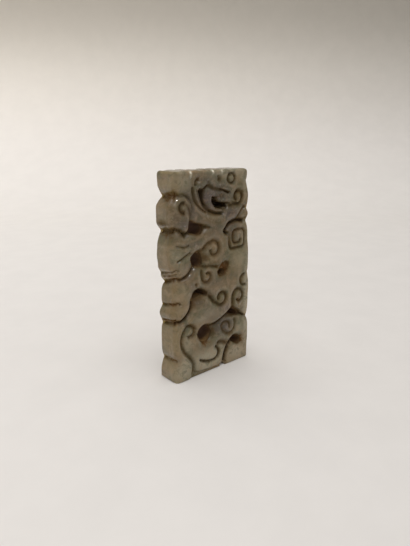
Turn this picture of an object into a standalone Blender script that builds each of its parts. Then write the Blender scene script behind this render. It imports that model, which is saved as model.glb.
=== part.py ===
"""Carved and pierced jade plaque with scroll grooves, standing on its foot edge.

Metres, Z up. The front faces -Y, and the origin is under the middle of the foot.
The carving is drawn as (x, z) in sixtieths of the height, the way a carver grids a blank:
z counts up from the foot, and x counts right from the left side of the plain top block.
"""
import math

import bmesh
import bpy

# Driving dimensions
HEIGHT = 0.0600
WIDTH = 0.0296
THICKNESS = 0.0077
EDGE_ROUND = 0.0008
GROOVE_WIDTH = 0.0008
GROOVE_DEPTH = 0.0005
DEEP_GROOVE_WIDTH = 0.0012
DEEP_GROOVE_DEPTH = 0.0008
FAINT_GROOVE_WIDTH = 0.0007
FAINT_GROOVE_DEPTH = 0.0003
PIT_DEPTH = 0.0009
FIELD_DEPTH = 0.0007
RING_RADIUS = 0.0014
CUT_MARGIN = 0.0010

# The drawing's own grid
GRID_HEIGHT = 60.0
LEFT_CREST = -0.7
RIGHT_CREST = 28.9
CORNER = 1.2

# Crests and hollows of the lobes down the left side, as (z, x)
LEFT_SIDE = (
    (58.3, 0.0), (54.0, 1.2), (50.2, -0.5), (46.6, -0.5), (44.2, 0.2), (39.6, -0.7), (36.2, -0.5),
    (31.8, 0.9), (26.6, 0.6), (23.4, 0.8), (20.8, -0.1), (17.6, 0.7), (12.0, 0.3), (7.0, 0.9), (2.6, 0.0),
)
# The same down the right side
RIGHT_SIDE = (
    (58.3, 26.7), (56.3, 26.6), (52.0, 27.3), (48.3, 27.0), (46.9, 27.4), (45.0, 27.0),
    (35.0, 28.2), (28.8, 27.9), (24.0, 28.6), (14.8, 28.1), (8.0, 28.9), (2.6, 28.6),
)
# Wheel-cut notches between the lobes: (z, x of the floor, half height at the mouth)
LEFT_NOTCHES = (
    (53.7, 2.1, 1.1), (44.5, 1.3, 0.7), (33.3, 1.1, 0.45), (31.0, 2.0, 0.9),
    (23.6, 1.2, 0.4), (18.9, 1.2, 0.4), (17.7, 1.5, 0.5), (7.0, 1.6, 0.8),
)
RIGHT_NOTCHES = (
    (56.5, 26.3, 0.5), (48.4, 26.7, 0.35), (45.0, 26.4, 0.5), (28.8, 27.5, 0.4), (14.8, 27.6, 0.5),
)
FOOT_NOTCH = (18.0, 0.8, 1.0)
# Heights where the sunk ground of the belly is deepest and where it meets the front
BELLY_TOP = 17.3
BELLY_HINGE = 10.4

WAVE_STEPS = 4
NOTCH_SIDES = 12
CURL_STEP = 40.0
CURVE_STEPS = 2


def place(x, z):
    """Drawing units to metres, with x about the plaque's middle."""
    middle = (LEFT_CREST + RIGHT_CREST) / 2
    return (x - middle) * WIDTH / (RIGHT_CREST - LEFT_CREST), z * HEIGHT / GRID_HEIGHT


def curl(centre, radii, start, sweep):
    """Drawing points of a curl that winds from the first radius to the second."""
    steps = max(2, round(abs(sweep) / CURL_STEP))
    points = []
    for step in range(steps + 1):
        share = step / steps
        angle = math.radians(start + sweep * share)
        radius = radii[0] + (radii[1] - radii[0]) * share
        points.append((centre[0] + radius * math.cos(angle), centre[1] + radius * math.sin(angle)))
    return points


def scalloped_side(extremes):
    """Drawing points down a side, with a half wave between each crest and hollow."""
    points = []
    for (z_from, x_from), (z_to, x_to) in zip(extremes, extremes[1:]):
        for step in range(WAVE_STEPS):
            share = step / WAVE_STEPS
            swing = (1 - math.cos(math.pi * share)) / 2
            points.append((x_from + (x_to - x_from) * swing, z_from + (z_to - z_from) * share))
    points.append((extremes[-1][1], extremes[-1][0]))
    return points


def corner(centre, start, sweep):
    """Drawing points of a rounded corner of the blank, without its two ends."""
    return curl(centre, (CORNER, CORNER), start, sweep)


def outline():
    """The plaque's whole outline, anticlockwise seen from the front."""
    left = scalloped_side(LEFT_SIDE)
    right = scalloped_side(RIGHT_SIDE)
    top_left = corner((left[0][0] + CORNER, GRID_HEIGHT - CORNER), 90, 90)
    top_right = corner((right[0][0] - CORNER, GRID_HEIGHT - CORNER), 0, 90)
    foot_left = corner((left[-1][0] + CORNER, CORNER), 180, 90)
    foot_right = corner((right[-1][0] - CORNER, CORNER), 270, 90)
    return top_left + left + foot_left + foot_right + right[::-1] + top_right


def new_collection(name):
    collection = bpy.data.collections.new(name)
    bpy.context.scene.collection.children.link(collection)
    return collection


def drawn_curve(name, kind, dimensions):
    """An empty curve object that is drawn in its own XY and stands up in the plaque's XZ."""
    data = bpy.data.curves.new(name, "CURVE")
    data.dimensions = dimensions
    data.splines.new(kind)
    made = bpy.data.objects.new(name, data)
    made.rotation_euler = (math.radians(90), 0, 0)
    return made


def to_mesh(curve_object, collection):
    """Makes the curve object a mesh object with its caps welded, and removes the curve."""
    collection.objects.link(curve_object)
    bpy.context.view_layer.update()
    name = curve_object.name
    graph = bpy.context.evaluated_depsgraph_get()
    mesh = bpy.data.meshes.new_from_object(curve_object.evaluated_get(graph))
    form = bmesh.new()
    form.from_mesh(mesh)
    bmesh.ops.remove_doubles(form, verts=form.verts, dist=0.000002)
    bmesh.ops.recalc_face_normals(form, faces=form.faces)
    form.to_mesh(mesh)
    form.free()
    matrix = curve_object.matrix_world.copy()
    data = curve_object.data
    bpy.data.objects.remove(curve_object)
    bpy.data.curves.remove(data)
    made = bpy.data.objects.new(name, mesh)
    made.matrix_world = matrix
    collection.objects.link(made)
    return made


def blank(collection):
    """The slab in its scalloped outline, with every outer edge worn round."""
    curve = drawn_curve("jade_plaque", "POLY", "2D")
    spline = curve.data.splines[0]
    points = outline()
    spline.points.add(len(points) - 1)
    for point, drawn in zip(spline.points, points):
        point.co = (*place(*drawn), 0, 1)
    spline.use_cyclic_u = True
    curve.data.fill_mode = "BOTH"
    curve.data.extrude = THICKNESS / 2 - EDGE_ROUND
    curve.data.bevel_depth = EDGE_ROUND
    curve.data.bevel_resolution = 2
    curve.data.offset = -EDGE_ROUND
    return to_mesh(curve, collection)


def move_to(made, collection):
    for holder in made.users_collection:
        holder.objects.unlink(made)
    collection.objects.link(made)
    return made


def as_cutter(made):
    made.hide_render = True
    made.display_type = "WIRE"
    return made


def groove(cutters, name, points, width=GROOVE_WIDTH, depth=GROOVE_DEPTH, level=0.0, square=False):
    """A line cut along the front, or along ground that is sunk to a level: a tube, thinner at both ends."""
    radius = (width * width / 4 + depth * depth) / (2 * depth)
    curve = drawn_curve(name, "BEZIER", "3D")
    curve.data.bevel_depth = radius
    curve.data.bevel_resolution = 2
    curve.data.resolution_u = CURVE_STEPS
    curve.data.use_fill_caps = True
    spline = curve.data.splines[0]
    spline.bezier_points.add(len(points) - 1)
    for index, (knot, drawn) in enumerate(zip(spline.bezier_points, points)):
        knot.co = (*place(*drawn), THICKNESS / 2 + radius - depth - level)
        knot.handle_left_type = knot.handle_right_type = "VECTOR" if square else "AUTO"
        knot.radius = 0.6 if index in (0, len(points) - 1) else 1.0
    return as_cutter(to_mesh(curve, cutters))


def sunk_shape(cutters, name, points, depth, slope=0.0, hinge=0.0):
    """A closed shape cut into the front to a flat floor, or right through when depth is None.

    A sloping floor comes out of the front at the height of its hinge and is deeper above it.
    """
    curve = drawn_curve(name, "BEZIER", "2D")
    spline = curve.data.splines[0]
    spline.bezier_points.add(len(points) - 1)
    for knot, drawn in zip(spline.bezier_points, points):
        knot.co = (*place(*drawn), 0)
        knot.handle_left_type = knot.handle_right_type = "AUTO"
    spline.use_cyclic_u = True
    curve.data.resolution_u = 3
    curve.data.fill_mode = "BOTH"
    curve.data.extrude = THICKNESS / 2 + CUT_MARGIN
    if depth is not None:
        half = (depth + CUT_MARGIN) / 2
        pivot = place(0, hinge)[1]
        curve.data.extrude = half
        curve.rotation_euler.x -= slope
        curve.location.y = depth - THICKNESS / 2 - half * math.cos(slope) - pivot * math.sin(slope)
        curve.location.z = half * math.sin(slope) + pivot * (1 - math.cos(slope))
    return as_cutter(to_mesh(curve, cutters))


def ring(cutters, name, centre):
    """A drilled ring groove, as a tube bit leaves it."""
    x, z = place(*centre)
    bpy.ops.mesh.primitive_torus_add(
        major_segments=16,
        minor_segments=8,
        major_radius=RING_RADIUS,
        minor_radius=GROOVE_WIDTH / 2,
        location=(x, -THICKNESS / 2, z),
        rotation=(math.radians(90), 0, 0),
    )
    made = bpy.context.object
    made.name = name
    return as_cutter(move_to(made, cutters))


def notch(cutters, name, mouth, floor, half_width):
    """A wheel-cut notch across the whole thickness: an oval bar with its middle at the mouth."""
    mouth_x, mouth_z = place(*mouth)
    floor_x, floor_z = place(*floor)
    depth = max(abs(floor_x - mouth_x), abs(floor_z - mouth_z))
    width = half_width * HEIGHT / GRID_HEIGHT
    across_side = abs(floor_x - mouth_x) > abs(floor_z - mouth_z)
    bpy.ops.mesh.primitive_cylinder_add(
        vertices=NOTCH_SIDES,
        radius=1,
        depth=THICKNESS + 2 * CUT_MARGIN,
        location=(mouth_x, 0, mouth_z),
        rotation=(math.radians(90), 0, 0),
    )
    made = bpy.context.object
    made.scale = (depth, width, 1) if across_side else (width, depth, 1)
    made.name = name
    return as_cutter(move_to(made, cutters))


def side_notches(cutters):
    """The notches that part the lobes on both sides, and the one in the foot."""
    for side, notches, outside in (("left", LEFT_NOTCHES, LEFT_CREST), ("right", RIGHT_NOTCHES, RIGHT_CREST)):
        for index, (z, floor_x, half_height) in enumerate(notches):
            notch(cutters, f"notch_{side}_{index + 1}", (outside, z), (floor_x, z), half_height)
    foot_x, foot_z, half_width = FOOT_NOTCH
    notch(cutters, "notch_foot", (foot_x, 0), (foot_x, foot_z), half_width)


def pierced_holes(cutters):
    """The eight openings that go right through, as rounded triangles, ovals and beans."""
    shapes = {
        "hole_under_hook": [(5.1, 46.6), (7.4, 46.0), (9.6, 44.9), (8.8, 43.0), (6.6, 43.3), (5.1, 44.1)],
        "hole_in_crescent": [(14.0, 51.6), (15.1, 51.5), (17.4, 50.9), (17.6, 50.0), (15.4, 49.9), (14.3, 50.6)],
        "hole_behind_lobe": [(5.7, 36.9), (8.5, 37.6), (9.3, 35.8), (9.2, 34.0), (7.0, 33.8), (5.9, 35.0)],
        "hole_russet": [(15.9, 31.9), (17.6, 32.6), (19.0, 31.8), (18.4, 30.2), (16.6, 29.7), (15.8, 30.6)],
        "hole_arched": [(6.3, 24.9), (6.4, 26.3), (8.0, 27.0), (9.6, 26.4), (11.1, 24.9), (8.8, 24.9)],
        "hole_fork": [(21.9, 18.3), (20.4, 17.1), (22.3, 15.7), (24.7, 15.6), (23.6, 17.1)],
        "hole_widest": curl((10.4, 12.6), (2.4, 2.4), 0, 315),
        "hole_lower_right": [(23.3, 9.1), (21.9, 7.8), (23.2, 6.2), (24.7, 5.4), (25.8, 6.9), (24.9, 8.1)],
    }
    for name, points in shapes.items():
        sunk_shape(cutters, name, points, None)


def sunk_fields(cutters):
    """Ground cut below the relief beside the crescent, in the mane and under the long groove."""
    fields = {
        "field_crescent": [(13.6, 52.9), (14.6, 52.6), (16.4, 51.9), (19.0, 51.1), (19.6, 50.0), (16.4, 49.5), (14.2, 50.2)],
        "field_mane": [(8.2, 54.4), (9.9, 54.4), (10.2, 53.0), (9.9, 51.8), (9.0, 53.1)],
    }
    for name, points in fields.items():
        sunk_shape(cutters, name, points, FIELD_DEPTH)
    belly = [
        (8.0, 12.0), (8.5, 14.3), (10.4, 15.7), (13.8, 15.5), (17.2, 16.6), (20.6, 17.3), (24.8, 16.2),
        (24.6, 13.6), (22.6, 11.0), (19.0, 9.9), (14.0, 9.9), (9.6, 9.9),
    ]
    rise = place(0, BELLY_TOP)[1] - place(0, BELLY_HINGE)[1]
    sunk_shape(cutters, "field_belly", belly, 0.0, math.atan2(FIELD_DEPTH, rise), BELLY_HINGE)
    pits = {"pit_mane": (7.8, 57.8, 0.6), "pit_top": (15.3, 57.4, 0.7), "pit_middle": (6.8, 28.4, 0.4)}
    for name, (x, z, size) in pits.items():
        sunk_shape(cutters, name, curl((x, z), (size, size), 0, 270), PIT_DEPTH)
    ring(cutters, "ring_top", (20.3, 57.6))


def upper_grooves(cutters):
    """The head, mane and scroll above the waist."""
    groove(cutters, "neck", [(0.6, 53.9), (2.5, 54.1), (4.0, 53.6), (5.2, 52.8), (6.0, 51.8), (6.3, 50.0), (5.8, 48.0), (5.5, 46.5)])
    groove(cutters, "lobe_hook", curl((3.0, 50.4), (1.4, 1.4), 60, 210))
    groove(cutters, "under_hook", [(0.8, 44.6), (2.0, 44.4), (3.3, 43.4), (5.4, 44.0)])
    groove(cutters, "hook_tail", [(9.2, 44.8), (10.6, 44.6), (12.0, 44.6)])
    groove(cutters, "mane_outer", [(6.2, 54.5), (6.5, 53.0), (7.3, 51.0), (8.3, 49.8), (9.5, 49.0), (10.8, 48.5)])
    groove(
        cutters,
        "mane_inner",
        [(7.5, 57.6), (7.2, 56.6), (7.7, 55.3), (8.8, 53.6), (9.7, 51.7), (10.7, 49.9), (12.5, 48.3), (14.8, 47.8), (17.5, 47.9)],
    )
    groove(cutters, "brow_left", [(8.5, 54.3), (10.0, 54.8), (11.0, 55.6), (11.8, 56.5)])
    groove(cutters, "brow_right", [(11.8, 56.2), (13.5, 55.1), (15.0, 54.6), (17.0, 54.1)])
    groove(cutters, "brow_dash", [(15.7, 55.0), (17.5, 54.3), (19.7, 53.7)])
    groove(cutters, "top_scroll", [(17.4, 50.3), (19.4, 50.1), (21.2, 50.2)] + curl((22.9, 52.3), (2.0, 0.9), -80, 320))
    groove(cutters, "right_lobe", [(27.4, 49.4), (25.8, 48.5), (24.3, 47.4), (23.5, 46.3), (22.8, 45.2)])
    groove(
        cutters,
        "right_notch",
        [(27.2, 45.0), (25.0, 45.0), (23.2, 45.2), (21.0, 44.9), (19.6, 44.4), (18.9, 43.3), (18.6, 42.2), (19.4, 41.4)],
        DEEP_GROOVE_WIDTH,
        DEEP_GROOVE_DEPTH,
    )
    fret = [(19.6, 41.6), (20.1, 37.4), (25.9, 37.4), (26.0, 42.3), (21.6, 42.3), (21.7, 38.8), (24.2, 38.8), (24.2, 40.3)]
    groove(cutters, "fret", fret, square=True)


def middle_grooves(cutters):
    """The wave and curls between the waist and the arched hole."""
    groove(cutters, "wave", [(7.6, 37.6), (9.2, 38.3), (11.0, 39.7)] + curl((14.0, 38.1), (2.6, 1.0), 125, -310))
    groove(cutters, "lobe_line_upper", [(-0.4, 40.5), (1.5, 40.1), (3.0, 39.9), (4.8, 40.3)], FAINT_GROOVE_WIDTH, FAINT_GROOVE_DEPTH)
    groove(cutters, "lobe_line_lower", [(0.3, 35.9), (1.8, 36.6), (3.4, 37.3), (5.4, 37.9)], FAINT_GROOVE_WIDTH, FAINT_GROOVE_DEPTH)
    groove(cutters, "under_lobe", [(0.6, 30.7), (2.0, 30.8), (3.5, 31.4), (4.8, 32.3), (5.7, 33.4), (6.3, 34.3)])
    groove(cutters, "band", [(8.4, 34.0), (10.2, 33.4), (13.0, 33.2), (16.2, 32.4)])
    groove(cutters, "small_curl", [(8.7, 33.2), (9.2, 31.4)] + curl((11.3, 30.2), (2.0, 0.9), 195, 250))
    groove(cutters, "edge_ring", curl((26.9, 26.5), (1.8, 1.8), 75, 220))


def lower_grooves(cutters):
    """The body's long lines, its curls and the hooks over the foot."""
    groove(
        cutters,
        "belly",
        [(-0.6, 18.6), (1.5, 19.0), (3.1, 20.0), (4.5, 21.3), (5.4, 22.6), (5.9, 23.9), (6.6, 25.2)],
        DEEP_GROOVE_WIDTH,
        DEEP_GROOVE_DEPTH,
    )
    groove(cutters, "lobe_five_line", [(-0.4, 23.9), (0.6, 23.5), (1.8, 23.4)], FAINT_GROOVE_WIDTH, FAINT_GROOVE_DEPTH)
    groove(cutters, "arch_curl", [(10.8, 25.1), (12.3, 23.8), (13.6, 22.1)] + curl((17.2, 22.8), (2.6, 1.8), 215, 330))
    groove(cutters, "fork_curl", [(21.7, 18.2), (21.7, 20.2), (21.8, 22.2)] + curl((24.0, 22.0), (2.2, 2.2), 125, -190) + [(24.2, 20.6)])
    groove(cutters, "edge_groove", [(28.6, 14.2), (26.4, 15.1), (24.0, 16.2)], DEEP_GROOVE_WIDTH, DEEP_GROOVE_DEPTH)
    scroll = curl((19.9, 13.2), (2.9, 2.2), 20, -300)
    groove(cutters, "worn_scroll", scroll, DEEP_GROOVE_WIDTH, FAINT_GROOVE_DEPTH, FIELD_DEPTH / 2)
    groove(cutters, "hook_bar", [(14.9, 8.0), (16.5, 8.2), (17.9, 7.8), (19.4, 7.1)])
    hook = [(14.6, 7.9), (14.9, 6.8), (15.5, 5.7), (15.5, 4.6), (14.6, 3.7), (13.0, 3.4), (11.0, 3.7), (9.4, 4.3), (8.2, 5.0)]
    groove(cutters, "hook_left", hook)
    groove(cutters, "hook_right", [(22.4, 8.2), (21.0, 7.3), (19.7, 6.4), (18.9, 5.1), (18.3, 3.3), (18.0, 0.2)])
    groove(
        cutters,
        "tail_scroll",
        curl((4.7, 14.7), (1.2, 2.3), 230, 280) + [(2.2, 13.8), (1.8, 11.8), (2.2, 9.9), (3.4, 8.3), (4.9, 6.5), (6.0, 4.7), (6.1, 3.0), (6.0, 0.6)],
    )


def jade():
    """Grey-green nephrite with a waxy polish."""
    material = bpy.data.materials.new("jade")
    material.use_nodes = True
    shader = material.node_tree.nodes["Principled BSDF"]
    shader.inputs["Base Color"].default_value = (0.27, 0.23, 0.15, 1)
    shader.inputs["Roughness"].default_value = 0.4
    shader.inputs["Metallic"].default_value = 0.0
    return material


def main():
    for old in list(bpy.data.objects):
        bpy.data.objects.remove(old)
    parts = new_collection("jade plaque")
    cutters = new_collection("cutters")
    plaque = blank(parts)
    side_notches(cutters)
    pierced_holes(cutters)
    sunk_fields(cutters)
    upper_grooves(cutters)
    middle_grooves(cutters)
    lower_grooves(cutters)
    for cutter in cutters.objects:
        cut = plaque.modifiers.new(cutter.name, "BOOLEAN")
        cut.operation = "DIFFERENCE"
        cut.object = cutter
    plaque.data.materials.append(jade())


main()
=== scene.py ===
"""The carved jade plaque dressed for its picture: worn wheel-cut relief, stained stone and soft light.

Metres, Z up, front towards -Y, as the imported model. The carving is drawn in the carver's grid of
sixtieths of the height: (x, z) on the front, or (x, depth, z) where a line turns onto a side.
"""
import math

import bpy
import numpy as np
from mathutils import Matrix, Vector, noise
from mathutils.bvhtree import BVHTree
from mathutils.kdtree import KDTree


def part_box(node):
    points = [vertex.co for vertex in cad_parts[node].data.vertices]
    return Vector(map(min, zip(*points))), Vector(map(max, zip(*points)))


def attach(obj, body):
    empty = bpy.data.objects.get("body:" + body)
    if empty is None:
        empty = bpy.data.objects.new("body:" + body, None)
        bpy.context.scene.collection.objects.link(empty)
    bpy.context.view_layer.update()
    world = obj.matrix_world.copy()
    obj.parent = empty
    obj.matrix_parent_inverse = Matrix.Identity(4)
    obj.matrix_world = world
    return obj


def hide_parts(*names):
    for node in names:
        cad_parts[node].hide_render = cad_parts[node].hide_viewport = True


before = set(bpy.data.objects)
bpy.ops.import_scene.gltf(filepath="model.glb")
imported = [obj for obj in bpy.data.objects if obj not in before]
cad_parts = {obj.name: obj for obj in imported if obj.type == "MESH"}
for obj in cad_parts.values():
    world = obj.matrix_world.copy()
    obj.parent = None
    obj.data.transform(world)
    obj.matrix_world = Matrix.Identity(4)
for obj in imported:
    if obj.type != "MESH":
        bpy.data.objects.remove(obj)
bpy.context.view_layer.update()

# Sizes of the solid that the carving replaces
LOW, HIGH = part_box("jade_plaque")
THICKNESS, HEIGHT = (HIGH - LOW).yz

# The drawing's own grid, as in the solid
GRID_HEIGHT = 60.0
UNIT = HEIGHT / GRID_HEIGHT
PER_METRE = GRID_HEIGHT / HEIGHT
LEFT_CREST = -0.7
RIGHT_CREST = 28.9
MIDDLE = (LEFT_CREST + RIGHT_CREST) / 2
DEPTH = THICKNESS * GRID_HEIGHT / HEIGHT
CORNER = 1.2
FOOT_CORNER = 0.5
RIGHT_FOOT_CORNER = 0.9
EDGE_ROUND = 0.3
# Spare stone below the foot, and the height up to which it is then pressed flat
FOOT_SPARE = 0.4
FOOT_PRESS = 0.6
# How far a cutter stands out of the stone, in metres
CUT_MARGIN = 0.001

# How finely the stone and the routes of its lines are modelled
WAVE_STEPS = 8
ROUTE_STEPS = 8
MOST_AT_ONCE = 4000000
VOXEL = 0.14
SMOOTH_ROUNDS = 7
MOST_TRIANGLES = 190000

# Crests and hollows of the lobes down each side, as (z, x)
LEFT_SIDE = (
    (58.3, 0.0), (56.4, 0.1), (53.4, 1.0), (50.2, -0.6), (46.2, -0.6), (43.9, 0.4), (39.6, -0.5),
    (37.2, -0.7), (33.8, -0.4), (31.6, 0.3), (29.2, 1.0), (26.6, 0.6), (24.5, 0.5), (22.6, 0.5),
    (20.2, -0.3), (17.1, 0.3), (12.0, 0.2), (9.0, 0.2), (6.2, 0.5), (2.0, -0.2),
)
RIGHT_SIDE = (
    (58.3, 27.1), (56.4, 27.0), (52.0, 27.8), (48.5, 27.5), (46.9, 27.9), (44.8, 27.4), (41.0, 28.0),
    (34.0, 28.4), (28.7, 28.4), (24.4, 28.8), (19.0, 28.7), (14.5, 28.4), (11.0, 28.85), (8.0, 28.9),
    (2.6, 28.7),
)
# Notch under the foot: x, height, half width
FOOT_NOTCH = (18.0, 0.8, 1.0)


def curl(centre, radii, start, sweep, step=30.0):
    """Drawing points of a curl that winds from the first radius to the second."""
    steps = max(2, round(abs(sweep) / step))
    points = []
    for index in range(steps + 1):
        share = index / steps
        angle = math.radians(start + sweep * share)
        radius = radii[0] + (radii[1] - radii[0]) * share
        points.append((centre[0] + radius * math.cos(angle), centre[1] + radius * math.sin(angle)))
    return points


# The openings that go right through
HOLES = {
    "under_hook": [(5.3, 46.4), (7.4, 45.9), (9.6, 44.9), (8.8, 43.1), (6.8, 43.1), (5.2, 44.1)],
    "in_crescent": [(13.9, 51.6), (14.8, 51.2), (17.4, 50.8), (18.0, 50.2), (15.8, 50.0), (14.2, 50.6)],
    "behind_lobe": [(5.7, 36.8), (8.3, 37.5), (9.2, 35.8), (9.0, 34.0), (7.0, 33.8), (5.8, 35.0)],
    "russet": [(16.1, 31.1), (17.2, 31.6), (18.4, 31.1), (18.1, 30.1), (16.9, 29.6), (16.0, 30.2)],
    "arched": [(6.2, 24.8), (6.3, 26.2), (7.8, 27.0), (9.5, 26.6), (11.2, 25.0), (8.8, 25.2)],
    "fork": [(21.9, 18.1), (20.6, 17.1), (22.3, 15.8), (24.6, 15.6), (23.4, 17.1)],
    "widest": curl((10.75, 12.5), (2.5, 2.25), 0, 330, 30),
    "lower_right": [(23.3, 8.7), (22.1, 7.4), (23.2, 6.1), (24.6, 5.4), (25.7, 6.7), (24.8, 7.9)],
}

# The one whose walls are stained right through, with no painted light on them
DARKEST_HOLE = "in_crescent"


def line(points, width=1.0, depth=0.55, stain=0.8, cushion=0.0, drop=0.0, reach=2.5):
    """One wheel-cut line.

    width and depth are one size, or one at each end. cushion rolls the stone off on both sides of
    it. drop sinks the ground to the right of the line's own direction, rising over the reach.
    """
    widths = width if isinstance(width, tuple) else (width, width)
    depths = depth if isinstance(depth, tuple) else (depth, depth)
    return {
        "points": points, "widths": widths, "depths": depths, "stain": stain,
        "cushion": cushion, "drop": drop, "reach": reach,
    }


def left_notch(back_z, front_z, x=1.0):
    """Points of a notch that runs from the back round the left side to the front edge."""
    middle = (back_z + front_z) / 2
    on_back = [(x + 2.6, DEPTH, back_z), (x + 0.9, DEPTH, back_z)]
    return on_back + [(x, 6.4, back_z), (x, 4.0, middle), (x, 1.6, front_z)]


def right_notch(z, x):
    """A short notch across the right side, from the front edge to the back."""
    return [(x - 0.8, 0.0, z), (x, 0.8, z), (x, 4.0, z), (x, 6.8, z), (x - 1.5, DEPTH, z)]


# Notches of the right side: z, x, width, depth, stain
RIGHT_NOTCHES = (
    (56.5, 26.6, 0.7, 0.1, 0.4), (48.5, 27.2, 0.6, 0.12, 0.6), (44.8, 27.2, 0.8, 0.15, 0.8),
    (28.6, 28.0, 0.7, 0.12, 0.6), (14.5, 28.1, 0.8, 0.15, 0.7),
)

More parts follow.
